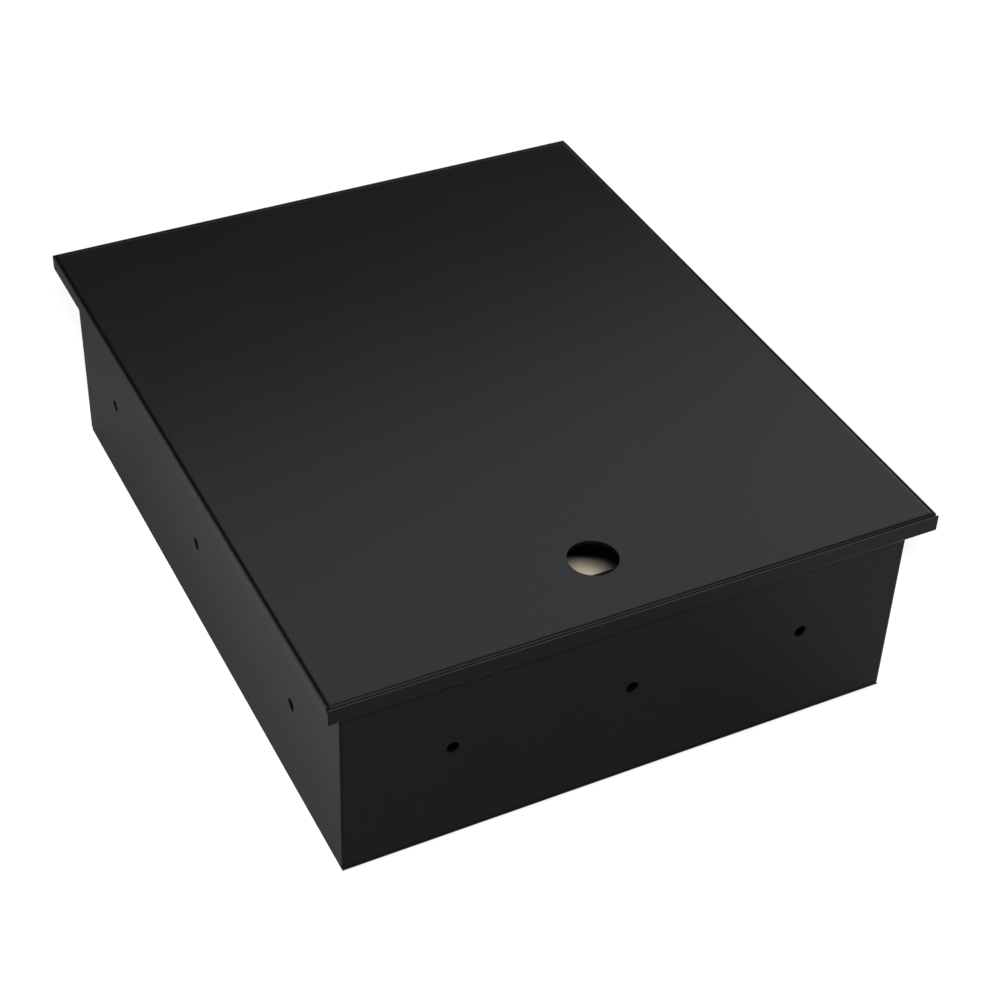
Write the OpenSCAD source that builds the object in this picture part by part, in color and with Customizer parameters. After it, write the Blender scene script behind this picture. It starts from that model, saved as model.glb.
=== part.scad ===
// Built-in parcel drop box: a flanged sheet-steel sleeve, open at the back,
// closed by a flush door on two hidden hinges.
// Frame: +Z out through the door's face, -Y towards the lock, +X to the right.
// The origin is the centre of the sleeve's open back.

/* [Overall size] */
// Width across the flange, left to right
flange_w = 410; // [300:1:600]
// Length of the flange, from the lock edge to the hinge edge
flange_l = 500; // [360:1:700]
// Height from the open back to the lip's top edge
box_h = 150; // [110:1:300]

/* [Sheet] */
// Thickness of the sheet steel
sheet_t = 1.2; // [1:0.1:1.4]
// Outside radius of the sleeve's bends
bend_r = 2; // [1.8:0.1:2.4]
// Outside radius of the bends round the door's face
door_bend_r = 2.2; // [1.8:0.1:2.6]

/* [Sleeve] */
// How far the flange stands out past the walls
flange_o = 11.7; // [11:0.1:16]
// Height of the lip, from the flange's underside to its top edge
lip_h = 12.2; // [12:0.1:18]
// Width of the open notch between the lips at a corner
notch_w = 1.5; // [1:0.1:3]
// Depth of that notch below the lip's top edge
notch_h = 3; // [1:0.1:6]
// Width of the turned-in edge round the open back
return_w = 15; // [8:0.5:30]
// Length of the relief notch where two turned-in edges would meet
relief = 3.3; // [2.5:0.1:6]
// Length of the tabs that lap the rear wall onto the side walls
tab_w = 16; // [10:1:25]
// Gap left for the weld between sleeve pieces
seam = 0.2; // [0.1:0.1:0.5]

/* [Fixing holes] */
// Diameter of the fixing holes in the walls
fixing_d = 8.5; // [4:0.1:10]
// Distance between neighbouring holes in the front and rear walls
end_pitch = 121.4; // [60:0.1:140]
// Height of the holes in the front and rear walls
end_hole_z = 75; // [40:1:90]
// Distance between neighbouring holes in the side walls
side_pitch = 164; // [80:1:200]
// Height of the holes in the side walls
side_hole_z = 71; // [40:1:90]
// How far the side walls' rows sit behind the middle
side_shift = 2; // [0:1:10]

/* [Door] */
// How far the door's face stands above the lip
door_rise = 0.8; // [0:0.1:1.2]
// Gap between the door and the lip at the front and the rear
door_gap = 1.1; // [0.9:0.1:2]
// Gap between the door and the lip at the sides
side_gap = 0.5; // [0.4:0.1:2]
// Gap between the door's skirt and the flange below it
skirt_gap = 1.5; // [1:0.1:3]
// How far the rear skirt reaches below the hinge pin
rear_skirt_drop = 2; // [1:0.1:2.5]
// Radius of the door's upright corner edges
door_corner_r = 1.5; // [0.5:0.1:2]

/* [Lock hole] */
// Diameter of the lock hole through the door
lock_d = 32; // [20:0.5:36]
// How far the lock hole sits left of the middle
lock_x = 10.2; // [0:0.1:60]
// Distance from the flange's front edge to the lock hole's centre
lock_inset = 53; // [50:0.1:90]
// Distance from the lock hole's centre to the flat in the lock plate
lock_flat = 12.5; // [8:0.1:14]
// Extra radius of the lock plate's hole round the door's hole
lock_plate_clear = 0.5; // [0.3:0.1:1]
// Width of the lock plate
lock_plate_w = 64; // [50:1:90]
// Length of the lock plate, front to back
lock_plate_l = 54; // [50:1:90]
// Thickness of the lock plate
lock_plate_t = 2; // [1.5:0.1:3]
// Radius of the lock plate's corners
lock_plate_r = 4; // [2:1:10]

/* [Stiffeners] */
// Distance of each stiffener from the middle of the door
stiff_x = 110; // [60:1:130]
// Height of the stiffeners below the door's sheet
stiff_h = 12; // [8:1:20]
// Width of a stiffener's crown
stiff_crown = 26; // [16:1:40]
// Width of a stiffener's welding flanges
stiff_lug = 12; // [8:1:20]
// Distance from each end of a stiffener to the wall next to it
stiff_end = 40; // [30:1:80]

/* [Hinges] */
// Distance of each hinge from the middle of the door
hinge_x = 125; // [60:1:140]
// Length of a hinge along its pin
hinge_l = 60; // [40:1:90]
// Diameter of the hinge pins
pin_d = 2.4; // [2:0.1:3]
// Clearance between a pin and its knuckles, on the radius
pin_clear = 0.05; // [0.02:0.01:0.1]
// Outside radius of the hinge knuckles
knuckle_r = 2.3; // [2.2:0.1:2.5]
// Gap between neighbouring knuckles
knuckle_gap = 0.4; // [0.2:0.1:0.8]
// Number of knuckles on a hinge
knuckles = 5; // [3:2:7]
// Thickness of the hinge leaves
leaf_t = 1.2; // [1:0.1:1.4]
// Reach of the door's hinge leaf from the pin
door_leaf_w = 30; // [24:1:45]
// Depth of the sleeve's hinge leaf below the flange
wall_leaf_h = 32; // [24:1:50]
// Smallest gap between parts that swing past each other
swing_gap = 0.4; // [0.3:0.1:0.6]
// Gap between the knuckles and the door's sheet
knuckle_rise = 0.3; // [0.3:0.1:0.5]

/* [Fasteners] */
// Diameter of the weld studs and of the rivets
stud_d = 4; // [3:0.5:5]
// Distance between neighbouring studs or rivets
stud_pitch = 20; // [14:1:28]
// Length of the weld studs
stud_l = 8; // [7:0.5:10]
// Clearance round a stud or rivet, on the radius
stud_clear = 0.05; // [0.05:0.05:0.2]
// Width of the nuts across their flats
nut_af = 7; // [6:0.1:9]
// Thickness of the nuts
nut_h = 3.2; // [2:0.1:4]
// Radius of the rivet heads
rivet_head_r = 4; // [3:0.1:5]
// Height of the rivet heads
rivet_head_h = 1.3; // [1:0.1:2]

/* [Seal] */
// Width of the foam seal strips
seal_w = 6; // [4:0.1:7]
// Gap between the seal's top and the closed door's sheet
seal_gap = 0.3; // [0.2:0.1:0.6]
// Gap between neighbouring seal strips
seal_joint = 0.3; // [0.3:0.1:1]

/* [Hidden] */
$fn = 48;
lock_facets = 96;

// Colours of the finishes
coat = [0.16, 0.16, 0.17];
zinc = [0.66, 0.66, 0.64];
foam = [0.08, 0.08, 0.08];

// Overlap of joined shapes, and how far a cut runs past a face
strip = 1;

// Sleeve: half sizes over the lip and over the walls, and the levels of its flange
half_w = flange_w / 2;
half_l = flange_l / 2;
wall_x = half_w - flange_o;
wall_y = half_l - flange_o;
flange_z = box_h - lip_h;
ledge_z = flange_z + sheet_t;
bend_in = bend_r - sheet_t;
wall_top = flange_z - bend_in;

// Rear wall: where its tabs stand inside the side walls
tab_x = wall_x - sheet_t - seam;
inner_y = wall_y - sheet_t;

// Door: its outline, and the levels of its sheet and skirts
door_x = half_w - sheet_t - side_gap;
door_y = half_l - sheet_t - door_gap;
door_top = box_h + door_rise;
door_under = door_top - sheet_t;
skirt_z = ledge_z + skirt_gap;

// Hinge pin: as far inside the door's rear edge as the swing over the flange allows
pin_z = door_under - knuckle_rise - knuckle_r;
swing_r = pin_z - ledge_z - swing_gap;
pin_y = door_y - sqrt(swing_r * swing_r - rear_skirt_drop * rear_skirt_drop);
rear_skirt_z = pin_z - rear_skirt_drop;
bore_r = pin_d / 2 + pin_clear;
knuckle_pitch = hinge_l / knuckles;
knuckle_front = pin_y - knuckle_r;
leaf_cut_z = pin_z - knuckle_r - swing_gap;
pin_head_r = knuckle_r - pin_clear;
pin_head_h = 1;

// Fasteners: their rows, and the radius of the holes they pass through
stud_y = pin_y - door_leaf_w / 2;
rivet_z = flange_z - wall_leaf_h / 2;
stud_hole_r = stud_d / 2 + stud_clear;
stud_rows = [-stud_pitch, 0, stud_pitch];
rivet_tail_r = 0.8 * rivet_head_r;

// Lock hole's centre, stiffeners' half length, and the seal's place on the flange
lock_at = [-lock_x, lock_inset - half_l];
stiff_y = inner_y - stiff_end;
seal_out = half_w - flange_o + bend_in + seal_joint + seal_w;
seal_h = door_under - seal_gap - ledge_z;
seal_rear = pin_y - swing_r - swing_gap;

// Rectangle with round corners, centred on the origin
module round_rect(w, l, r) {
    square([w - 2 * r, l], center = true);
    square([w, l - 2 * r], center = true);
    for (x = [-1, 1], y = [-1, 1])
        translate([x * (w / 2 - r), y * (l / 2 - r)]) circle(r);
}

// Quarter of a bent strip about the origin: its outer face turns from -X round to -Y
module bend_2d(r, t) {
    difference() {
        intersection() {
            circle(r);
            translate([-r, -r]) square(r);
        }
        circle(r - t);
    }
}

// Section of a shallow tray: flat bottom on Y = 0 and bottom corners of radius r
module tray_section(half, h, r) {
    translate([-half, r]) square([2 * half, h - r]);
    translate([r - half, 0]) square([2 * (half - r), h]);
    for (s = [-1, 1]) translate([s * (half - r), r]) circle(r);
}

// Block with half sizes x and y, standing on Z = 0, with bottom edges of radius r
module tray_block(x, y, h, r) {
    intersection() {
        rotate([90, 0, 0]) linear_extrude(2 * y, center = true) tray_section(x, h, r);
        rotate([90, 0, 90]) linear_extrude(2 * x, center = true) tray_section(y, h, r);
    }
}

// Pressed tray of sheet: outer half sizes x and y, outer edge radius r
module tray(x, y, h, r) {
    difference() {
        tray_block(x, y, h, r);
        translate([0, 0, sheet_t]) tray_block(x - sheet_t, y - sheet_t, h, r - sheet_t);
    }
}

// Section of the bend from flange to wall, measured inwards from the lip's outer face
module wall_bend_section() {
    translate([flange_o - bend_in - strip, flange_z]) square([strip, sheet_t]);
    translate([flange_o - bend_in, wall_top]) rotate(180) bend_2d(bend_r, sheet_t);
    translate([flange_o, wall_top - strip]) square([sheet_t, strip]);
}

// Section of the turned-in edge at the open back, measured as above
module return_section() {
    translate([flange_o, bend_r]) square([sheet_t, strip]);
    translate([flange_o + bend_r, bend_r]) bend_2d(bend_r, sheet_t);
    translate([flange_o + bend_r, 0]) square([return_w - bend_r, sheet_t]);
}

// Lays a section along the front side of a sleeve whose lip is d from the middle
module along_side(d, length) {
    translate([0, -d, 0]) rotate([90, 0, 90]) linear_extrude(length, center = true) children();
}

// Turned-in edge of the front side, mitred where it nears its neighbours
module return_edge(width, d, length) {
    depth = flange_o + return_w + strip;
    w = width / 2 - seam;
    intersection() {
        along_side(d, length) return_section();
        translate([0, -d, -strip]) linear_extrude(bend_r + 3 * strip)
            polygon([[-w, 0], [w, 0], [w - depth, depth], [depth - w, depth]]);
    }
}

// Share of the flange and lip that belongs to the rear wall, grown forwards by gap
module rear_share(gap) {
    depth = 2 * flange_o;
    translate([0, half_l, wall_top]) linear_extrude(lip_h + 3 * strip)
        polygon([
            [-half_w - strip, strip - gap], [depth - half_w, -depth - gap],
            [half_w - depth, -depth - gap], [half_w + strip, strip - gap],
            [half_w + strip, 3 * strip], [-half_w - strip, 3 * strip]
        ]);
}

// Flange and lip of all four sides as one tray with its floor cut out
module flange_tray() {
    difference() {
        translate([0, 0, flange_z]) tray(half_w, half_l, lip_h, bend_r);
        translate([0, 0, flange_z]) linear_extrude(3 * sheet_t, center = true)
            square([2 * (wall_x + bend_in), 2 * (wall_y + bend_in)], center = true);
        for (x = [-1, 1], y = [-1, 1])
            translate([x * half_w, y * (half_l - sheet_t - notch_w / 2), box_h])
                cube([4 * sheet_t, notch_w, 2 * notch_h], center = true);
    }
}

// Flange's inner corner and the top of the upright bend below it, front right
module flange_corner() {
    translate([wall_x - bend_r, bend_r - wall_y]) rotate(90) {
        translate([0, 0, wall_top - strip]) linear_extrude(ledge_z - wall_top + strip)
            bend_2d(bend_r, sheet_t);
        translate([0, 0, flange_z]) linear_extrude(sheet_t) difference() {
            translate([-bend_r - bend_in - strip, -bend_r - bend_in - strip])
                square(bend_r + bend_in + strip);
            circle(bend_in);
        }
    }
}

// Tab that laps the rear wall onto the right side wall
module rear_tab() {
    translate([0, 0, bend_r + relief]) linear_extrude(wall_top - strip - bend_r - relief) {
        translate([tab_x - bend_r, wall_y - bend_r]) rotate(180) bend_2d(bend_r, sheet_t);
        translate([tab_x - sheet_t, wall_y - tab_w]) square([sheet_t, tab_w - bend_r]);
    }
}

// Row of three fixing holes through a front or rear wall
module fixing_holes(pitch, z) {
    for (x = [-pitch, 0, pitch])
        translate([x, 0, z]) rotate([90, 0, 0])
            cylinder(h = 4 * sheet_t, d = fixing_d, center = true);
}

// Front and side walls folded from one strip, with their flange, lip and turned-in edge
module sleeve_wrap() color(coat)
    difference() {
        union() {
            translate([0, 0, bend_r]) linear_extrude(wall_top - bend_r) {
                intersection() {
                    difference() {
                        round_rect(2 * wall_x, 2 * wall_y, bend_r);
                        round_rect(2 * (wall_x - sheet_t), 2 * inner_y, bend_in);
                    }
                    translate([-half_w, -half_l]) square([flange_w, half_l]);
                }
                for (x = [-wall_x, wall_x - sheet_t])
                    translate([x, -strip]) square([sheet_t, wall_y + strip]);
            }
            for (s = [0, 1]) mirror([s, 0]) {
                flange_corner();
                rotate(90) return_edge(flange_l, half_w, 2 * (wall_y - relief));
            }
            return_edge(flange_w, half_l, 2 * (wall_x - relief));
            along_side(half_l, 2 * (wall_x - bend_r)) wall_bend_section();
            difference() {
                union() {
                    flange_tray();
                    for (s = [0, 1]) mirror([s, 0]) rotate(90) translate([bend_r / 2, 0])
                        along_side(half_w, 2 * wall_y - bend_r) wall_bend_section();
                }
                rear_share(seam);
                translate([-half_w - strip, half_l - sheet_t - seam, flange_z + bend_r])
                    cube([flange_w + 2 * strip, flange_o, lip_h]);
            }
        }
        translate([0, -wall_y, 0]) fixing_holes(end_pitch, end_hole_z);
        for (x = [-wall_x, wall_x])
            translate([x, side_shift, 0]) rotate(90) fixing_holes(side_pitch, side_hole_z);
    }

// Rear wall with its flange, full-width lip, turned-in edge and two tabs
module rear_wall() color(coat)
    difference() {
        union() {
            intersection() {
                union() {
                    flange_tray();
                    rotate(180) along_side(half_l, flange_w) wall_bend_section();
                }
                rear_share(0);
            }
            rotate(180) along_side(half_l, 2 * (tab_x - bend_r)) wall_bend_section();
            translate([-half_w, half_l - sheet_t, flange_z + bend_r + seam])
                cube([flange_w, sheet_t, lip_h - bend_r - seam]);
            translate([bend_r - tab_x, inner_y, bend_r])
                cube([2 * (tab_x - bend_r), sheet_t, wall_top - bend_r]);
            rotate(180) return_edge(flange_w, half_l, 2 * (tab_x - relief));
            for (s = [0, 1]) mirror([s, 0]) rear_tab();
        }
        translate([0, wall_y, 0]) fixing_holes(end_pitch, end_hole_z);
        for (x = [-hinge_x, hinge_x], r = stud_rows)
            translate([x + r, wall_y, rivet_z]) rotate([90, 0, 0])
                cylinder(h = 4 * sheet_t, r = stud_hole_r, center = true);
    }

// Strip of sealing foam along X: flat foot on the flange and a round back
module seal_strip(length) {
    rotate([90, 0, 90]) linear_extrude(length, center = true) {
        translate([-seal_w / 2, 0]) square([seal_w, seal_h - seal_w / 2]);
        translate([0, seal_h - seal_w / 2]) circle(seal_w / 2);
    }
}

// Foam strip on the flange under the door's lock edge
module seal_front() color(foam)
    translate([0, seal_w / 2 - half_l + half_w - seal_out, ledge_z])
        seal_strip(2 * (seal_out - seal_w - seal_joint));

// Foam strip on the flange beside the door; s is -1 on the left and 1 on the right
module seal_side(s) color(foam)
    translate([s * (seal_out - seal_w / 2), (seal_rear + half_w - half_l - seal_out) / 2, ledge_z])
        rotate(90) seal_strip(seal_rear - half_w + half_l + seal_out);

// Foam strip on the flange along the left side
module seal_left() seal_side(-1);

// Foam strip on the flange along the right side
module seal_right() seal_side(1);

// Places its children at the left hinge (s = -1) or the right hinge (s = 1)
module at_hinge(s) translate([s * hinge_x, 0, 0]) children();

// Lays a section in the Y-Z plane over the knuckle's stretch number i
module at_knuckle(i) {
    lead = i > 0 ? knuckle_gap / 2 : 0;
    trail = i < knuckles - 1 ? knuckle_gap / 2 : 0;
    translate([i * knuckle_pitch - hinge_l / 2 + lead, 0, 0]) rotate([90, 0, 90])
        linear_extrude(knuckle_pitch - lead - trail) children();
}

// Round section of a knuckle without its bore
module knuckle_2d() {
    translate([pin_y, pin_z]) circle(knuckle_r);
}

// Bore for the pin through a whole hinge
module pin_bore() {
    translate([0, pin_y, pin_z]) rotate([0, 90, 0])
        cylinder(h = hinge_l + 2 * strip, r = bore_r, center = true);
}

// What an outer corner of radius r leaves over; its centre is the origin, its corner to -X, +Y
module corner_waste(r) {
    difference() {
        translate([-r - strip, 0]) square(r + strip);
        circle(r);
    }
}

// Section of the wall leaf below the knuckles: up the wall, over the flange and up to the pin
module crank_2d() {
    difference() {
        union() {
            translate([inner_y - leaf_t, flange_z - wall_leaf_h])
                square([leaf_t, wall_leaf_h + sheet_t + leaf_t]);
            translate([inner_y - leaf_t, ledge_z])
                square([knuckle_front - inner_y + 2 * leaf_t, leaf_t]);
            translate([knuckle_front, ledge_z]) square([leaf_t, leaf_cut_z - ledge_z]);
        }
        translate([inner_y, ledge_z]) corner_waste(leaf_t);
        translate([knuckle_front, ledge_z + leaf_t]) rotate(180) corner_waste(leaf_t);
    }
}

// Hinge leaf riveted inside the rear wall and cranked over the flange to the pin
module wall_leaf(s) color(zinc) at_hinge(s)
    difference() {
        union() {
            rotate([90, 0, 90]) linear_extrude(hinge_l, center = true) crank_2d();
            for (i = [0:2:knuckles - 1]) at_knuckle(i) {
                knuckle_2d();
                translate([knuckle_front, leaf_cut_z - strip])
                    square([leaf_t, pin_z - leaf_cut_z + strip]);
            }
        }
        pin_bore();
        for (x = stud_rows) translate([x, inner_y, rivet_z]) rotate([90, 0, 0])
            cylinder(h = 4 * leaf_t, r = stud_hole_r, center = true);
    }

// Sleeve's leaf of the left hinge
module hinge_left_wall_leaf() wall_leaf(-1);

// Sleeve's leaf of the right hinge
module hinge_right_wall_leaf() wall_leaf(1);

// Rivets through a wall leaf and the rear wall, heads outside
module rivets(s) color(zinc) at_hinge(s)
    for (x = stud_rows) translate([x, wall_y, rivet_z]) rotate([90, 0, 0]) {
        mirror([0, 0, 1])
            cylinder(h = rivet_head_h, r1 = rivet_head_r, r2 = rivet_tail_r);
        cylinder(h = sheet_t + leaf_t, d = stud_d);
        translate([0, 0, sheet_t + leaf_t])
            cylinder(h = rivet_head_h, r1 = rivet_tail_r, r2 = stud_d / 2);
    }

// Three rivets of the left hinge
module hinge_left_rivets() rivets(-1);

// Three rivets of the right hinge
module hinge_right_rivets() rivets(1);

// Hinge pin with a head at each end
module pin(s) color(zinc) at_hinge(s)
    translate([-hinge_l / 2, pin_y, pin_z]) rotate([0, 90, 0]) {
        translate([0, 0, -pin_clear]) cylinder(h = hinge_l + 2 * pin_clear, d = pin_d);
        for (z = [-pin_head_h - pin_clear, hinge_l + pin_clear])
            translate([0, 0, z]) cylinder(h = pin_head_h, r = pin_head_r);
    }

// Pin of the left hinge
module hinge_left_pin() pin(-1);

// Pin of the right hinge
module hinge_right_pin() pin(1);

// Door: a pan of sheet with the lock hole, its rear skirt cut short and notched at the hinges
module door_panel() color(coat)
    difference() {
        intersection() {
            translate([0, 0, door_top]) mirror([0, 0, 1])
                tray(door_x, door_y, door_top - skirt_z, door_bend_r);
            linear_extrude(door_top + strip) round_rect(2 * door_x, 2 * door_y, door_corner_r);
        }
        translate([lock_at.x, lock_at.y, door_under - strip])
            cylinder(h = sheet_t + 2 * strip, d = lock_d, $fn = lock_facets);
        translate([-half_w, pin_y - swing_gap, skirt_z - strip])
            cube([flange_w, half_l, rear_skirt_z - skirt_z + strip]);
        for (s = [-1, 1]) at_hinge(s)
            translate([-hinge_l / 2 - 2 * strip, pin_y + knuckle_r, skirt_z - strip])
                cube([hinge_l + 4 * strip, flange_o, door_top - door_bend_r - skirt_z + strip]);
    }

// Section of a stiffener below its welding face: crown, two webs and two lugs
module stiffener_section() {
    for (s = [0, 1]) mirror([s, 0]) {
        translate([-strip, -stiff_h]) square([stiff_crown / 2 - bend_r + strip, sheet_t]);
        translate([stiff_crown / 2 - bend_r, bend_r - stiff_h]) rotate(90)
            bend_2d(bend_r, sheet_t);
        translate([stiff_crown / 2 - sheet_t, bend_r - stiff_h])
            square([sheet_t, stiff_h - 2 * bend_r]);
        translate([stiff_crown / 2 + bend_in, -bend_r]) rotate(-90) bend_2d(bend_r, sheet_t);
        translate([stiff_crown / 2 + bend_in, -sheet_t]) square([stiff_lug - bend_in, sheet_t]);
    }
}

// Stiffener welded under the door, front to back; s is -1 on the left and 1 on the right
module stiffener(s) color(coat)
    translate([s * stiff_x, 0, door_under]) rotate([90, 0, 0])
        linear_extrude(2 * stiff_y, center = true) stiffener_section();

// Door's left stiffener
module door_stiffener_left() stiffener(-1);

// Door's right stiffener
module door_stiffener_right() stiffener(1);

// Plate welded under the door, with a D-shaped hole that stops a lock from turning
module lock_plate() color(coat)
    translate([lock_at.x, lock_at.y, door_under - lock_plate_t])
        linear_extrude(lock_plate_t) difference() {
            round_rect(lock_plate_w, lock_plate_l, lock_plate_r);
            intersection() {
                circle(lock_d / 2 + lock_plate_clear, $fn = lock_facets);
                translate([-lock_d, -lock_flat]) square([2 * lock_d, 2 * lock_d]);
            }
        }

// Door's hinge leaf: a flat plate under the sheet with knuckles rolled below its rear edge
module door_leaf(s) color(zinc) at_hinge(s)
    difference() {
        union() {
            translate([-hinge_l / 2, pin_y - door_leaf_w, door_under - leaf_t])
                cube([hinge_l, door_leaf_w - knuckle_r - swing_gap, leaf_t]);
            for (i = [1:2:knuckles - 2]) at_knuckle(i) {
                knuckle_2d();
                translate([pin_y - knuckle_r - swing_gap - strip, door_under - leaf_t])
                    square([knuckle_r + swing_gap + strip, leaf_t]);
            }
        }
        pin_bore();
        for (x = stud_rows)
            translate([x, stud_y, door_under - 2 * leaf_t]) cylinder(h = 3 * leaf_t, r = stud_hole_r);
    }

// Door's leaf of the left hinge
module hinge_left_door_leaf() door_leaf(-1);

// Door's leaf of the right hinge
module hinge_right_door_leaf() door_leaf(1);

// Studs welded to the door's underside to hold a hinge leaf
module studs(s) color(zinc) at_hinge(s)
    for (x = stud_rows)
        translate([x, stud_y, door_under - stud_l]) cylinder(h = stud_l, d = stud_d);

// Three studs for the left hinge
module hinge_left_studs() studs(-1);

// Three studs for the right hinge
module hinge_right_studs() studs(1);

// Hexagon nuts on the studs
module nuts(s) color(zinc) at_hinge(s)
    for (x = stud_rows) translate([x, stud_y, door_under - leaf_t - nut_h])
        difference() {
            cylinder(h = nut_h, d = nut_af / cos(30), $fn = 6);
            translate([0, 0, -strip]) cylinder(h = nut_h + 2 * strip, r = stud_hole_r);
        }

// Three nuts of the left hinge
module hinge_left_nuts() nuts(-1);

// Three nuts of the right hinge
module hinge_right_nuts() nuts(1);

sleeve_wrap();
rear_wall();
seal_front();
seal_left();
seal_right();
hinge_left_wall_leaf();
hinge_right_wall_leaf();
hinge_left_rivets();
hinge_right_rivets();
hinge_left_pin();
hinge_right_pin();
door_panel();
door_stiffener_left();
door_stiffener_right();
lock_plate();
hinge_left_door_leaf();
hinge_right_door_leaf();
hinge_left_studs();
hinge_right_studs();
hinge_left_nuts();
hinge_right_nuts();
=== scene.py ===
import math

import bmesh
import bpy
import numpy as np
from mathutils import Matrix, Vector


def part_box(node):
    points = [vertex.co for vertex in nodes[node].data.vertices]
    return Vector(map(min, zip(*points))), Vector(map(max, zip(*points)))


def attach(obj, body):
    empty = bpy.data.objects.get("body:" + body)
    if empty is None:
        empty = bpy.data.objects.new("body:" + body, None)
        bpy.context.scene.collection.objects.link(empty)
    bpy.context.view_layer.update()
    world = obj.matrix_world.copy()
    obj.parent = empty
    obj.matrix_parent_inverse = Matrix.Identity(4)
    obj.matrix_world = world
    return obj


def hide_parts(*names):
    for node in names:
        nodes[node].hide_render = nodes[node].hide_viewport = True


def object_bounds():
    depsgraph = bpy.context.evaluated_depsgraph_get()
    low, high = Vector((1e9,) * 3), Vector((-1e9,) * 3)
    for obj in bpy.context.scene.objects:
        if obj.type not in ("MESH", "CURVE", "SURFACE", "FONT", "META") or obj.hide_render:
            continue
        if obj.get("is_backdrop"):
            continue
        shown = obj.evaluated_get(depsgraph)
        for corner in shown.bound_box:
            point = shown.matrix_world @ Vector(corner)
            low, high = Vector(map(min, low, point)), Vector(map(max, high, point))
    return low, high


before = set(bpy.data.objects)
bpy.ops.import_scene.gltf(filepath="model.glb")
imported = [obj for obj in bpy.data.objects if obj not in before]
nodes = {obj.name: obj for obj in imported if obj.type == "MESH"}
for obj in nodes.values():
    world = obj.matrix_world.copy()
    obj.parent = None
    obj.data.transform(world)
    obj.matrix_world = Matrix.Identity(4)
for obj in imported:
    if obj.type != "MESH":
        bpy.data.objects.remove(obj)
cad_low, cad_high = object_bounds()
scene = bpy.context.scene
scene.view_settings.view_transform = "Standard"


# ---------------------------------------------------------------- viewpoint
# A normal lens looks down on the box from in front of its left corner,
# a little over a metre away and turned a touch off level.
camera = bpy.data.objects.new("viewpoint", bpy.data.cameras.new("viewpoint"))
camera.data.sensor_width = 36.0
camera.data.lens = 77.20
camera.data.clip_start, camera.data.clip_end = 0.05, 50.0
eye = (-0.51764, -1.02946, 0.99291)
to_right = (0.894849, -0.445158, 0.032847)
to_top = (0.260327, 0.580247, 0.771714)
to_back = (-0.362595, -0.682017, 0.635121)
turn = Matrix((to_right, to_top, to_back)).transposed()
camera.matrix_world = Matrix.Translation(eye) @ turn.to_4x4()
scene.collection.objects.link(camera)
scene.camera = camera


# -------------------------------------------------------------------- table
# A pale table that runs up into a white background. For rays that reflect off the walls
# it glows with a painted reflection: painted shade at the box's foot and front left corner,
# and painted light that brightens outwards and to the right. Under the open sleeve it is
# painted near black, as shade inside the box, with a pale sheet of card in the middle.
# From below it can be seen through.
def surface(name, points, closed_u=False, closed_v=False, crease=40.0):
    """Object made of grids of points[copy, u, v], each joined to its neighbours by quads.

    A closed direction runs back to its start. Doubles at poles are merged, faces face
    outwards, and edges that bend by more than the crease angle, in degrees, stay sharp.
    """
    copies, nu, nv = points.shape[:3]
    index = np.arange(nu * nv).reshape(nu, nv)
    if closed_u:
        index = np.vstack([index, index[:1]])
    if closed_v:
        index = np.hstack([index, index[:, :1]])
    quads = np.stack([index[:-1, :-1], index[1:, :-1], index[1:, 1:], index[:-1, 1:]], axis=-1)
    quads = quads.reshape(1, -1, 4) + nu * nv * np.arange(copies).reshape(-1, 1, 1)
    mesh = bpy.data.meshes.new(name)
    mesh.from_pydata(points.reshape(-1, 3).tolist(), [], quads.reshape(-1, 4).tolist())
    welder = bmesh.new()
    welder.from_mesh(mesh)
    bmesh.ops.remove_doubles(welder, verts=welder.verts, dist=1e-6)
    bmesh.ops.recalc_face_normals(welder, faces=welder.faces)
    welder.to_mesh(mesh)
    welder.free()
    mesh.shade_smooth()
    mesh.set_sharp_from_angle(angle=math.radians(crease))
    made = bpy.data.objects.new(name, mesh)
    scene.collection.objects.link(made)
    return made


def new_material(name):
    """Node material with nothing but its output node: returns material, tree and output."""
    material = bpy.data.materials.new(name)
    material.use_nodes = True
    tree = material.node_tree
    tree.nodes.clear()
    return material, tree, tree.nodes.new("ShaderNodeOutputMaterial")


def add_node(tree, kind, *links, **values):
    """Adds a node. Each link is (output, input name or number); in_NAME sets an input."""
    node = tree.nodes.new(kind)
    for key, value in values.items():
        if key.startswith("in_"):
            key = key[3:].replace("_", " ")
            node.inputs[int(key) if key.isdigit() else key].default_value = value
        else:
            setattr(node, key, value)
    for output, socket in links:
        tree.links.new(output, node.inputs[socket])
    return node


def maths(tree, operation, *inputs):
    """Output of a Math node whose inputs are numbers or other outputs."""
    node = tree.nodes.new("ShaderNodeMath")
    node.operation = operation
    for i, value in enumerate(inputs):
        if isinstance(value, (int, float)):
            node.inputs[i].default_value = value
        else:
            tree.links.new(value, node.inputs[i])
    return node.outputs[0]


def ramp(tree, value, start, end, low, high):
    """Smooth ramp of a value: low up to start, high from end on."""
    node = add_node(tree, "ShaderNodeMapRange", (value, "Value"), interpolation_type="SMOOTHSTEP",
                    in_1=start, in_2=end, in_3=low, in_4=high)
    return node.outputs[0]


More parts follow.
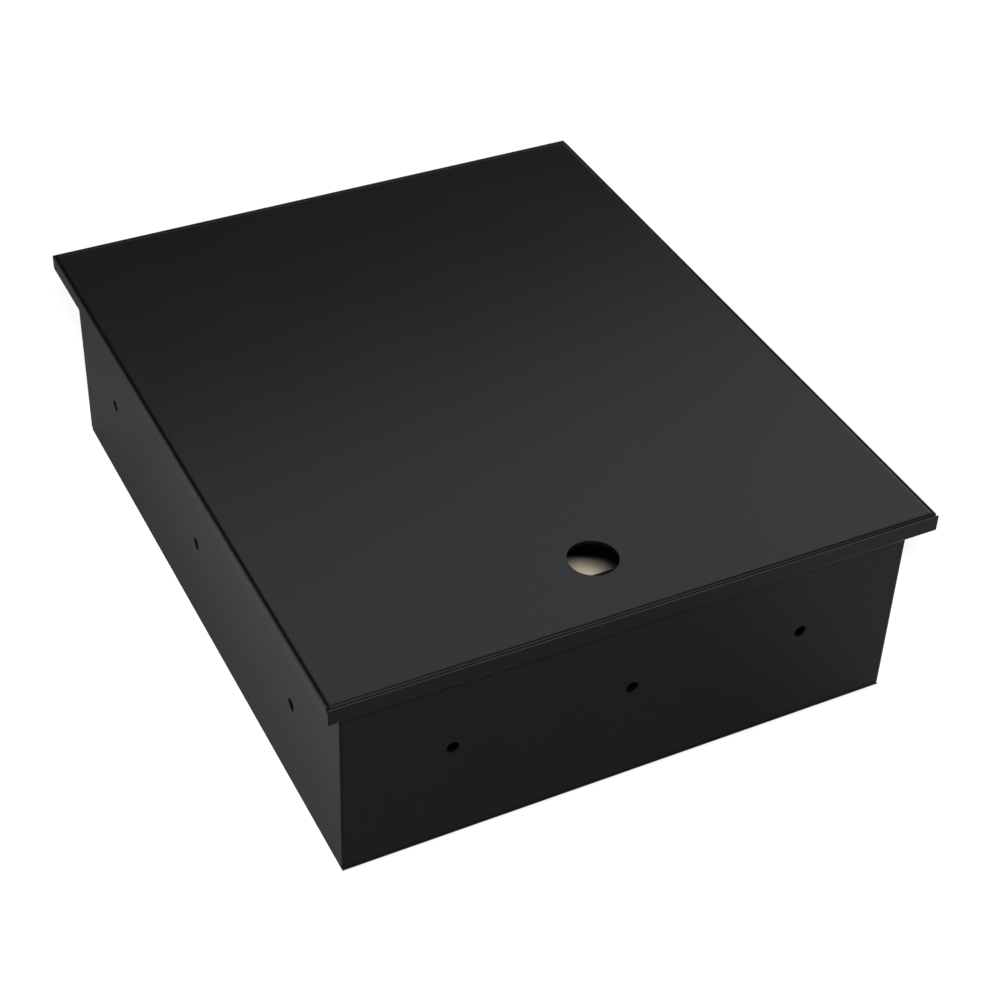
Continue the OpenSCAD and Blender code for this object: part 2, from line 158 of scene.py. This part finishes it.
table_reach = 6.0
across = np.linspace(-table_reach, table_reach, 3)
grid_x, grid_y = np.meshgrid(across, across, indexing="ij")
table = surface("table", np.stack([grid_x, grid_y, 0 * grid_x], axis=-1)[None])
table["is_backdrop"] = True

flange_w, card_half = 0.0117, 0.12
wall_x, wall_y = cad_high.x - flange_w, cad_high.y - flange_w
# Painted shade: the table under the sleeve is near black, for the shade inside the box.
shade_black_under_sleeve = (0.012, 0.012, 0.012, 1)
foot_shadow = (0.02, 0.02, 0.02, 1)
table_grey = (0.16, 0.16, 0.16, 1)
card_cream = (0.80, 0.69, 0.56, 1)
material, tree, out = new_material("table_top")
place = add_node(tree, "ShaderNodeTexCoord")
split = add_node(tree, "ShaderNodeSeparateXYZ", (place.outputs["Object"], 0))
ray = add_node(tree, "ShaderNodeLightPath")
camera_ray = ray.outputs["Is Camera Ray"]
mirror_ray = maths(tree, "MAXIMUM", ray.outputs["Is Glossy Ray"], ray.outputs["Is Transmission Ray"])

# Distance out from the foot of the sleeve's walls, and the part of the table outside it
table_x, table_y = split.outputs["X"], split.outputs["Y"]
from_x, from_y = maths(tree, "ABSOLUTE", table_x), maths(tree, "ABSOLUTE", table_y)
past_x = maths(tree, "MAXIMUM", maths(tree, "SUBTRACT", from_x, wall_x), 0.0)
past_y = maths(tree, "MAXIMUM", maths(tree, "SUBTRACT", from_y, wall_y), 0.0)
away = maths(tree, "SQRT", maths(tree, "ADD", maths(tree, "MULTIPLY", past_x, past_x),
                                 maths(tree, "MULTIPLY", past_y, past_y)))
open_table = maths(tree, "GREATER_THAN", away, 0.0)
off_card = maths(tree, "GREATER_THAN", maths(tree, "MAXIMUM", from_x, from_y), card_half)

# In front: a painted thin contact shadow, and painted shade in the front left corner that is seen
# only in the walls
contact = ramp(tree, away, 0.0, 0.003, 0.0, 1.0)
behind = maths(tree, "GREATER_THAN", table_y, -wall_y)
corner = maths(tree, "MAXIMUM", ramp(tree, table_x, -0.195, -0.215, 1.0, 0.3), camera_ray)
clear = maths(tree, "MAXIMUM", maths(tree, "MULTIPLY", contact, corner), behind)

# Painted reflection: a glow that only reflected rays see, for the lit table far off, on the right
# and on the left
far = ramp(tree, away, 0.2, 0.9, 0.014, 1.0)
right = maths(tree, "MULTIPLY_ADD", ramp(tree, table_x, 0.22, 0.27, 0.0, 0.4), behind,
              ramp(tree, table_x, 0.08, 0.25, 0.0, 0.25))
left = maths(tree, "MULTIPLY", ramp(tree, table_x, -0.20, -0.24, 0.0, 0.112),
             ramp(tree, table_y, 0.36, 0.06, 0.0, 1.0))
painted_mirror_glow = maths(tree, "MULTIPLY", clear, maths(tree, "ADD", maths(tree, "ADD", far, right), left))
glow = maths(tree, "MULTIPLY_ADD", camera_ray, ramp(tree, away, 0.3, 1.2, 0.86, 1.0),
             maths(tree, "MULTIPLY", mirror_ray, painted_mirror_glow))

under = add_node(tree, "ShaderNodeMix", (off_card, 0), data_type="RGBA",
                 in_6=card_cream, in_7=shade_black_under_sleeve)
# Painted shadow: the table's colour darkens to foot_shadow in the contact shadow and the corner
# shade.
shade = add_node(tree, "ShaderNodeMix", (clear, 0), data_type="RGBA",
                 in_6=foot_shadow, in_7=table_grey)
tone = add_node(tree, "ShaderNodeMix", (open_table, 0), (under.outputs[2], 6),
                (shade.outputs[2], 7), data_type="RGBA")
dull = add_node(tree, "ShaderNodeBsdfDiffuse", (tone.outputs[2], "Color"))
light = add_node(tree, "ShaderNodeEmission", (maths(tree, "MULTIPLY", glow, open_table), "Strength"))
both = add_node(tree, "ShaderNodeAddShader", (dull.outputs[0], 0), (light.outputs[0], 1))
side = add_node(tree, "ShaderNodeNewGeometry")
clear_glass = add_node(tree, "ShaderNodeBsdfTransparent")
top_only = add_node(tree, "ShaderNodeMixShader", (side.outputs["Backfacing"], 0),
                    (both.outputs[0], 1), (clear_glass.outputs[0], 2))
tree.links.new(top_only.outputs[0], out.inputs["Surface"])
table.data.materials.append(material)


# -------------------------------------------------------------------- light
# A small lamp beside the camera, a wide softbox above that gives the lid its
# sheen, two windows in front and on the right that light the rounded edges, a
# weak lamp on the left, and a dim room.
def add_lamp(name, at, towards, size, power, colour):
    """Area lamp, size wide by high, at a place and facing another; its power is in watts."""
    data = bpy.data.lights.new(name, "AREA")
    data.shape = "RECTANGLE"
    data.size, data.size_y = size
    data.energy = power
    data.color = colour
    lamp = bpy.data.objects.new(name, data)
    facing = (Vector(towards) - Vector(at)).to_track_quat("-Z", "Y")
    lamp.matrix_world = Matrix.Translation(at) @ facing.to_matrix().to_4x4()
    scene.collection.objects.link(lamp)


def compass(azimuth, elevation, distance, middle):
    """Point at a distance from middle; azimuth turns from +Y towards +X, both in degrees."""
    a, e = math.radians(azimuth), math.radians(elevation)
    way = np.array((math.sin(a) * math.cos(e), math.cos(a) * math.cos(e), math.sin(e)))
    return tuple(np.array(middle) + distance * way)


softbox_foot = (1.2, 0.1, 0.1)
add_lamp("key_lamp", (-0.5187, -1.1083, 1.215), (0, 0, 0.1), (0.13, 0.13), 34.0,
         (1.0, 0.985, 0.96))
add_lamp("softbox", compass(-5, 66.4, 2.5, softbox_foot), softbox_foot, (4.8, 2.31), 51.0,
         (0.93, 0.955, 1.0))
add_lamp("front_window", (0.70, -2.15, 0.88), (0, -0.25, 0.15), (1.3, 0.8), 12.0,
         (0.74, 0.88, 1.1))
add_lamp("right_window", (1.6, 0.55, 0.4), (0.2, -0.1, 0.15), (0.8, 0.7), 2.2, (1.0, 1.0, 1.0))
add_lamp("left_lamp", (-1.1, -0.32, 0.7), (-0.3, -0.1, 0), (0.4, 0.4), 2.5, (1.0, 0.96, 0.93))
room = bpy.data.worlds.new("room")
scene.world = room
room.use_nodes = True
tree = room.node_tree
tree.nodes.clear()
ray = add_node(tree, "ShaderNodeLightPath")
dim = add_node(tree, "ShaderNodeBackground", in_Color=(0.7, 0.85, 1.2, 1), in_Strength=0.06)
white = add_node(tree, "ShaderNodeBackground", in_Color=(1, 1, 1, 1), in_Strength=1.0)
either = add_node(tree, "ShaderNodeMixShader", (ray.outputs["Is Camera Ray"], 0),
                  (dim.outputs[0], 1), (white.outputs[0], 2))
add_node(tree, "ShaderNodeOutputWorld", (either.outputs[0], "Surface"))


# ------------------------------------------------------------ sleeve walls
# The front and side walls are one folded strip of 1.2 mm steel, the rear wall
# another. Both are powder coated satin black: the baked powder leaves a fine
# orange peel, and lies thinner and glossier over the folds and cut edges, where a
# painted highlight also makes the colour lighter.
def node_group(name, inputs, outputs):
    """New shader node group: returns it, its input node's sockets and its output node."""
    group = bpy.data.node_groups.new(name, "ShaderNodeTree")
    for socket, kind in inputs:
        group.interface.new_socket(socket, in_out="INPUT", socket_type="NodeSocket" + kind)
    for socket, kind in outputs:
        group.interface.new_socket(socket, in_out="OUTPUT", socket_type="NodeSocket" + kind)
    return group, group.nodes.new("NodeGroupInput").outputs, group.nodes.new("NodeGroupOutput")


def place_group(tree, group, *links, **values):
    """Places a node group in a tree; links and in_NAME values as for add_node."""
    node = tree.nodes.new("ShaderNodeGroup")
    node.node_tree = group
    for name, value in values.items():
        node.inputs[name[3:].replace("_", " ")].default_value = value
    for output, socket in links:
        tree.links.new(output, node.inputs[socket])
    return node


# Edge mask: how far a softened normal leans away from the true one, 0 to 1.
edge_mask, given, result = node_group("edge_mask", [("Radius", "Float")], [("Mask", "Float")])
soft = add_node(edge_mask, "ShaderNodeBevel", (given["Radius"], "Radius"), samples=4)
true = add_node(edge_mask, "ShaderNodeNewGeometry")
lean = add_node(edge_mask, "ShaderNodeVectorMath", (soft.outputs[0], 0), (true.outputs["Normal"], 1),
                operation="DOT_PRODUCT")
mask = add_node(edge_mask, "ShaderNodeMapRange", (lean.outputs["Value"], "Value"),
                in_1=0.995, in_2=0.80, in_3=0.0, in_4=1.0)
edge_mask.links.new(mask.outputs[0], result.inputs["Mask"])

# Baked powder: slow clouds of tone and gloss, orange peel a millimetre across, fine grit
# and a few nibs where a speck lies under the powder. Over folds and cut edges the colour
# is lighter, a painted highlight, and the gloss higher.
powder_and_edge_highlight, given, result = node_group(
    "powder_and_edge_highlight",
    [("Vector", "Vector"), ("Colour", "Color"), ("Roughness", "Float"), ("Edge", "Float")],
    [("Colour", "Color"), ("Roughness", "Float"), ("Height", "Float")])
tree = powder_and_edge_highlight
at = (given["Vector"], "Vector")
cloud = add_node(tree, "ShaderNodeTexNoise", at, in_Scale=14.0, in_Detail=4.0, in_Roughness=0.5)
peel = add_node(tree, "ShaderNodeTexNoise", at, in_Scale=620.0, in_Detail=2.0, in_Roughness=0.5)
grit = add_node(tree, "ShaderNodeTexNoise", at, in_Scale=2600.0, in_Detail=1.0, in_Roughness=0.5)
specks = add_node(tree, "ShaderNodeTexVoronoi", at, in_Scale=55.0, in_Randomness=1.0)
nib = add_node(tree, "ShaderNodeMapRange", (specks.outputs["Distance"], "Value"),
               in_1=0.035, in_2=0.0, in_3=0.0, in_4=1.5)
tone = maths(tree, "MULTIPLY",
             maths(tree, "MULTIPLY_ADD", cloud.outputs["Fac"], 0.20, 0.90),
             maths(tree, "MULTIPLY_ADD", grit.outputs["Fac"], 0.30, 0.85))
# Painted highlight: the colour is lighter over folds and cut edges.
tone = maths(tree, "MULTIPLY_ADD", given["Edge"], 0.8, tone)
colour = add_node(tree, "ShaderNodeVectorMath", (given["Colour"], 0), (tone, "Scale"),
                  operation="SCALE")
gloss = maths(tree, "MULTIPLY_ADD", cloud.outputs["Fac"], 0.03,
              maths(tree, "SUBTRACT", given["Roughness"], 0.015))
gloss = maths(tree, "MULTIPLY_ADD", given["Edge"], -0.03, gloss)
height = maths(tree, "MULTIPLY_ADD", grit.outputs["Fac"], 0.2, peel.outputs["Fac"])
height = maths(tree, "ADD", height, nib.outputs[0])
for output, name in ((colour.outputs[0], "Colour"), (gloss, "Roughness"), (height, "Height")):
    tree.links.new(output, result.inputs[name])


def powder_coat(name, colour, roughness, peel_depth, sheen=0.2):
    """Powder coat over sheet steel; peel_depth is the orange peel's depth in metres."""
    material, tree, out = new_material(name)
    place = add_node(tree, "ShaderNodeTexCoord")
    edge = place_group(tree, edge_mask, in_Radius=0.0005)
    skin = place_group(tree, powder_and_edge_highlight, (place.outputs["Object"], "Vector"),
                       (edge.outputs["Mask"], "Edge"), in_Colour=colour, in_Roughness=roughness)
    round_edge = add_node(tree, "ShaderNodeBevel", samples=4, in_Radius=0.0004)
    bump = add_node(tree, "ShaderNodeBump", (skin.outputs["Height"], "Height"),
                    (round_edge.outputs[0], "Normal"), in_Strength=1.0, in_Distance=peel_depth)
    paint = add_node(tree, "ShaderNodeBsdfPrincipled", (skin.outputs["Colour"], "Base Color"),
                     (skin.outputs["Roughness"], "Roughness"), (bump.outputs[0], "Normal"))
    paint.inputs["Specular IOR Level"].default_value = sheen
    tree.links.new(paint.outputs[0], out.inputs["Surface"])
    return material


def finish_node(name, material):
    """Gives a CAD node's object one material."""
    slots = nodes[name].data.materials
    slots.clear()
    slots.append(material)


satin_black = powder_coat("satin_black_coat", (0.0045, 0.0045, 0.0047, 1), 0.26, 0.000006)
finish_node("sleeve_wrap", satin_black)
finish_node("rear_wall", satin_black)


# ------------------------------------------------------------ sleeve welds
# The flange's four mitres are welded from below and the rear wall's two tabs
# down their inner edges, in short beads that the powder covers.
sheet_t, lip_h = 0.0012, 0.0122
rear_low, rear_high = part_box("rear_wall")
flange_under = rear_high.z - lip_h


def weld_bead(starts, ends, side, up, half_width, rise, ripple=0.0009):
    """Beads from starts to ends: an ellipse, half_width by rise, carried along each line.

    The ellipse swells and shrinks by a twentieth with each ripple and closes over its ends.
    """
    starts, ends = np.asarray(starts, float), np.asarray(ends, float)
    along = np.linspace(0, 1, 49)[None, :, None, None]
    turn = np.linspace(0, 2 * np.pi, 12, endpoint=False)[None, None, :, None]
    length = np.linalg.norm(ends - starts, axis=1)[:, None, None, None]
    end_taper = np.sqrt(np.clip(1 - np.abs(2 * along - 1) ** 8, 0, 1))
    swell = end_taper * (1 + 0.05 * np.sin(2 * np.pi * along * length / ripple))
    centre = starts[:, None, None] + along * (ends - starts)[:, None, None]
    side, up = np.asarray(side, float)[:, None, None], np.asarray(up, float)[:, None, None]
    return centre + swell * (half_width * np.cos(turn) * side + rise * np.sin(turn) * up)


lip_bend, wall_bend = 0.0032, 0.0008
corners = np.array([(-1, -1), (1, -1), (-1, 1), (1, 1)], float)
level = np.full((4, 1), flange_under)
outer = np.hstack([corners * (cad_high.x - lip_bend, cad_high.y - lip_bend), level])
inner = np.hstack([corners * (wall_x + wall_bend, wall_y + wall_bend), level])
across_mitre = np.hstack([corners * (1, -1) / math.sqrt(2), 0 * level])
mitre_welds = surface("flange_mitre_welds",
                      weld_bead(outer, inner, across_mitre, [(0, 0, -1)] * 4, 0.0012, 0.0005),
                      closed_v=True)
tab_x, tab_y, bead_length = wall_x - 1.3 * sheet_t, rear_low.y - 0.0001, 0.015
beads = [(side, z) for side in (-1, 1) for z in (0.022, 0.063, 0.104)]
low_ends = [(side * tab_x, tab_y, z) for side, z in beads]
high_ends = [(side * tab_x, tab_y, z + bead_length) for side, z in beads]
tab_welds = surface("rear_tab_welds",
                    weld_bead(low_ends, high_ends, [(side, 0, 0) for side, z in beads],
                              [(0, 1, 0)] * 6, 0.0013, 0.0013), closed_v=True)
for piece in (mitre_welds, tab_welds):
    piece.data.materials.append(satin_black)
    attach(piece, "sleeve")


# ------------------------------------------------------------------- seals
# Three strips of black closed-cell foam are stuck to the flange for the door
# to close on. Their moulded skin is matt and finely pitted.
material, tree, out = new_material("seal_foam")
place = add_node(tree, "ShaderNodeTexCoord")
at = (place.outputs["Object"], "Vector")
cells = add_node(tree, "ShaderNodeTexVoronoi", at, in_Scale=1900.0)
lumps = add_node(tree, "ShaderNodeTexNoise", at, in_Scale=260.0, in_Detail=3.0)
pores = add_node(tree, "ShaderNodeMapRange", (cells.outputs["Distance"], "Value"),
                 in_1=0.0, in_2=0.6, in_3=0.0, in_4=1.0)
foam_tone = add_node(tree, "ShaderNodeMix", (lumps.outputs["Fac"], 0), data_type="RGBA",
                     in_6=(0.008, 0.008, 0.008, 1), in_7=(0.022, 0.022, 0.021, 1))
foam_relief = maths(tree, "MULTIPLY_ADD", lumps.outputs["Fac"], 1.5, pores.outputs[0])
bump = add_node(tree, "ShaderNodeBump", (foam_relief, "Height"), in_Strength=0.8,
                in_Distance=0.00012)
foam_rough = maths(tree, "MULTIPLY_ADD", pores.outputs[0], -0.12, 0.95)
foam = add_node(tree, "ShaderNodeBsdfPrincipled", (foam_tone.outputs[2], "Base Color"),
                (foam_rough, "Roughness"), (bump.outputs[0], "Normal"))
foam.inputs["Specular IOR Level"].default_value = 0.25
tree.links.new(foam.outputs[0], out.inputs["Surface"])
for name in ("seal_front", "seal_left", "seal_right"):
    finish_node(name, material)


# ------------------------------------------------------------ hinge leaves
# Both leaves of each hinge are pressed from steel strip and rolled round the
# pin, then zinc plated and passivated: bright, faintly yellow and blue, with
# the strip's rolling lines still showing and rubbed brighter on the edges.
zinc_skin, given, result = node_group(
    "zinc_skin",
    [("Vector", "Vector"), ("Grain", "Vector"), ("Roughness", "Float"), ("Edge", "Float")],
    [("Colour", "Color"), ("Roughness", "Float"), ("Height", "Float")])
tree = zinc_skin
stretched = add_node(tree, "ShaderNodeVectorMath", (given["Vector"], 0), (given["Grain"], 1),
                     operation="MULTIPLY")
lines = add_node(tree, "ShaderNodeTexNoise", (stretched.outputs[0], "Vector"), in_Scale=1.0,
                 in_Detail=3.0, in_Roughness=0.6)
stain = add_node(tree, "ShaderNodeTexNoise", (given["Vector"], "Vector"), in_Scale=90.0,
                 in_Detail=3.0)
bloom = add_node(tree, "ShaderNodeTexVoronoi", (given["Vector"], "Vector"), in_Scale=420.0)
tint = add_node(tree, "ShaderNodeValToRGB", (stain.outputs["Fac"], "Fac"))
blue_end, yellow_end = tint.color_ramp.elements
blue_end.position, blue_end.color = 0.32, (0.50, 0.53, 0.58, 1)
yellow_end.position, yellow_end.color = 0.68, (0.60, 0.57, 0.49, 1)
shade = maths(tree, "MULTIPLY_ADD", lines.outputs["Fac"], 0.25, 0.84)
shade = maths(tree, "MULTIPLY_ADD", given["Edge"], 0.18, shade)
colour = add_node(tree, "ShaderNodeVectorMath", (tint.outputs["Color"], 0), (shade, "Scale"),
                  operation="SCALE")
gloss = maths(tree, "MULTIPLY_ADD", bloom.outputs["Distance"], 0.10, given["Roughness"])
gloss = maths(tree, "MULTIPLY_ADD", given["Edge"], -0.08, gloss)
for output, name in ((colour.outputs[0], "Colour"), (gloss, "Roughness"),
                     (lines.outputs["Fac"], "Height")):
    tree.links.new(output, result.inputs[name])


def zinc_plate(name, grain, roughness, grain_depth):
    """Zinc-plated steel; grain scales the rolling or turning lines along X, Y and Z."""
    material, tree, out = new_material(name)
    place = add_node(tree, "ShaderNodeTexCoord")
    edge = place_group(tree, edge_mask, in_Radius=0.0003)
    skin = place_group(tree, zinc_skin, (place.outputs["Object"], "Vector"),
                       (edge.outputs["Mask"], "Edge"), in_Grain=grain, in_Roughness=roughness)
    round_edge = add_node(tree, "ShaderNodeBevel", samples=4, in_Radius=0.00025)
    bump = add_node(tree, "ShaderNodeBump", (skin.outputs["Height"], "Height"),
                    (round_edge.outputs[0], "Normal"), in_Strength=1.0, in_Distance=grain_depth)
    metal = add_node(tree, "ShaderNodeBsdfPrincipled", (skin.outputs["Colour"], "Base Color"),
                     (skin.outputs["Roughness"], "Roughness"), (bump.outputs[0], "Normal"),
                     in_Metallic=1.0)
    tree.links.new(metal.outputs[0], out.inputs["Surface"])
    return material


rolled_zinc = zinc_plate("rolled_zinc_plate", (60.0, 2400.0, 2400.0), 0.28, 0.000015)
for name in ("hinge_left_wall_leaf", "hinge_right_wall_leaf",
             "hinge_left_door_leaf", "hinge_right_door_leaf"):
    finish_node(name, rolled_zinc)


# -------------------------------------------------------------- hinge pins
# A drawn steel pin runs through each hinge, its ends peened over into low
# round heads outside the last knuckles.
def lathe(centres, axis, profile, segments):
    """Profile points (along the axis, radius) turned round an axis line through each centre."""
    along, radius = np.asarray(profile, float).T[:, :, None, None]
    turn = np.linspace(0, 2 * np.pi, segments, endpoint=False)[:, None]
    axes = np.roll(np.eye(3), -axis, axis=0)
    shape = along * axes[0] + radius * (np.cos(turn) * axes[1] + np.sin(turn) * axes[2])
    return np.asarray(centres, float)[:, None, None] + shape[None]


turned_zinc = zinc_plate("turned_zinc_plate", (1500.0, 1500.0, 1500.0), 0.24, 0.000008)
pin_r, peened_h = 0.0012, 0.0010
for side in ("left", "right"):
    low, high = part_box(f"hinge_{side}_pin")
    half, head_r = (high.x - low.x) / 2, (high.z - low.z) / 2
    dome = np.linspace(0, np.pi / 2, 8)
    head = np.stack([half - 0.75 * peened_h * (1 - np.cos(dome)), head_r * np.sin(dome)], axis=1)
    end = np.vstack([head, [(half - peened_h, head_r), (half - peened_h, pin_r)]])
    profile = np.vstack([end, (end * (-1, 1))[::-1]])
    pin = surface(f"hinge_{side}_peened_pin", lathe([(low + high) / 2], 0, profile, 32),
                  closed_v=True)
    pin.data.materials.append(turned_zinc)
    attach(pin, "sleeve")
    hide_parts(f"hinge_{side}_pin")


# ------------------------------------------------------------ hinge rivets
# Blind rivets hold the wall leaves: a low dome outside with the hole that the
# mandrel broke off in, and the shank's bulge inside the leaf.
shank_r = 0.002
for side in ("left", "right"):
    low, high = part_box(f"hinge_{side}_rivets")
    head_r, head_h = (high.z - low.z) / 2, high.y - wall_y
    pitch, middle = (high.x - low.x) / 2 - head_r, (low + high) / 2
    centres = [(middle.x + k * pitch, wall_y, middle.z) for k in (-1, 0, 1)]
    arc = np.linspace(0.28, 1.0, 10)
    dome = np.stack([head_h * np.sqrt(1 - 0.98 * arc ** 2), head_r * arc], axis=1)
    hole = [(0.25 * head_h, 0), (0.25 * head_h, 0.22 * head_r), (0.85 * head_h, 0.24 * head_r)]
    leaf_face, tail = -2 * sheet_t, low.y - wall_y
    swell = np.linspace(0, np.pi / 2, 8)
    bulge = np.stack([leaf_face + (tail - leaf_face) * np.sin(swell),
                      1.6 * shank_r * np.cos(swell)], axis=1)
    shank = [(0, head_r), (0, shank_r), (leaf_face, shank_r)]
    rivets = surface(f"hinge_{side}_blind_rivets",
                     lathe(centres, 1, np.vstack([hole, dome, shank, bulge]), 32), closed_v=True)
    rivets.data.materials.append(turned_zinc)
    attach(rivets, "sleeve")
    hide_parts(f"hinge_{side}_rivets")


# -------------------------------------------------------------------- door
# The door is a shallow pan folded from the same sheet and coated with the
# sleeve, with the lock hole punched through it. Two hat stiffeners and the
# lock plate are spot welded under it; each weld leaves a shallow round dent.
for name in ("door_panel", "door_stiffener_left", "door_stiffener_right"):
    finish_node(name, satin_black)
# The lock plate is a darker, duller black than the coat, so the strip of it seen through the lock
# hole stays near black.
dull_black = powder_coat("dull_black_lock_plate", (0.0018, 0.0018, 0.0018, 1), 0.7, 0.00001, 0.03)
finish_node("lock_plate", dull_black)


def spot_marks(centres):
    """Spot weld marks under a sheet: a low ring squeezed up round a shallow dent."""
    profile = np.array([(0.02, 0), (0.02, 1.2), (0.14, 2.1), (0.14, 2.5), (-0.1, 3.0),
                        (-0.4, 2.5), (-0.4, 0)]) * 0.001
    return lathe(centres, 2, profile * (-1, 1), 20)


spot_inset = 0.006
stiff_low, stiff_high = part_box("door_stiffener_right")
lug_middle = (stiff_high.x - stiff_low.x) / 2 - spot_inset
spots = [(side * (stiff_low.x + stiff_high.x) / 2 + lug * lug_middle, y, stiff_high.z - sheet_t)
         for side in (-1, 1) for lug in (-1, 1) for y in np.linspace(-0.185, 0.185, 9)]
plate_low, plate_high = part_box("lock_plate")
plate_middle, plate_half = (plate_low + plate_high) / 2, (plate_high - plate_low) / 2
spots += [(plate_middle.x + a * (plate_half.x - spot_inset),
           plate_middle.y + b * (plate_half.y - spot_inset), plate_low.z)
          for a in (-1, 1) for b in (-1, 1)]
door_spots = surface("door_spot_welds", spot_marks(spots), closed_v=True)
door_spots.data.materials.append(satin_black)
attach(door_spots, "door")


# --------------------------------------------------- hinge studs and nuts
# Three threaded studs are welded under the door for each hinge, so that
# nothing shows on its face, and chamfered hexagon nuts hold the leaf on them.
def threaded_rods(centres, top, bottom, radius, pitch, depth):
    """Rods whose radius falls from crest to root and back once in each pitch.

    The fall is a triangle wave of height less turn, so the ridge climbs as a helix. The
    last turn tapers, and both ends close on the axis.
    """
    rows = int((top - bottom) / pitch * 8)
    height = np.linspace(0, bottom - top, rows)[:, None]
    turn = np.linspace(0, 2 * np.pi, 24, endpoint=False)[None]
    wave = np.abs(2 * ((height / pitch - turn / (2 * np.pi)) % 1) - 1)
    taper = 0.72 + 0.28 * np.clip((height - height[-1]) / (1.2 * depth), 0, 1)
    reach = (radius - depth * wave) * taper
    rings = np.stack([reach * np.cos(turn), reach * np.sin(turn), height + 0 * turn], axis=-1)
    pole = np.zeros((1, 24, 3))
    rings = np.concatenate([pole, rings, pole + (0, 0, bottom - top)])
    return np.array([(x, y, top) for x, y in centres])[:, None, None] + rings[None]


def hexagon_nuts(centres, low, high, across_flats, hole):
    """Nuts: a hexagon's radius over the turn, cut back near each face by a 30 degree cone."""
    turn = np.linspace(0, 2 * np.pi, 72, endpoint=False)[None]
    hexagon = across_flats / 2 / np.cos(turn % (np.pi / 3) - np.pi / 6)
    depth = np.linspace(0, 0.0006, 6)[:, None]
    cone = 0.97 * across_flats / 2 + depth / math.tan(math.radians(30))
    side = np.minimum(hexagon, cone)
    chamfer = 0.0003
    top_half = [hole + 0 * turn, hole + chamfer + 0 * turn, side]
    radius = np.vstack(top_half + [rows[::-1] for rows in top_half[::-1]])
    thick = high - low
    levels = np.vstack([[[chamfer]], [[0]], depth])
    height = np.vstack([levels, thick - levels[::-1]])
    rings = np.stack([radius * np.cos(turn), radius * np.sin(turn), height + 0 * turn], axis=-1)
    return np.array([(x, y, low) for x, y in centres])[:, None, None] + rings[None]


thread_pitch, thread_depth, thread_gap = 0.0007, 0.0004, 0.00005
for side in ("left", "right"):
    low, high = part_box(f"hinge_{side}_studs")
    stud_r, middle = (high.y - low.y) / 2, (low + high) / 2
    pitch = (high.x - low.x) / 2 - stud_r
    centres = [(middle.x + k * pitch, middle.y) for k in (-1, 0, 1)]
    studs = surface(f"hinge_{side}_threaded_studs",
                    threaded_rods(centres, high.z, low.z, stud_r, thread_pitch, thread_depth),
                    closed_v=True)
    nut_low, nut_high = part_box(f"hinge_{side}_nuts")
    nuts = surface(f"hinge_{side}_hexagon_nuts",
                   hexagon_nuts(centres, nut_low.z, nut_high.z, nut_high.y - nut_low.y,
                                stud_r + thread_gap),
                   closed_u=True, closed_v=True, crease=25.0)
    for piece, replaced in ((studs, "studs"), (nuts, "nuts")):
        piece.data.materials.append(turned_zinc)
        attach(piece, "door")
        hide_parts(f"hinge_{side}_{replaced}")


# --------------------------------------------------------------------- size
# The box of the CAD model and of what is shown, kept side by side.
low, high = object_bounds()
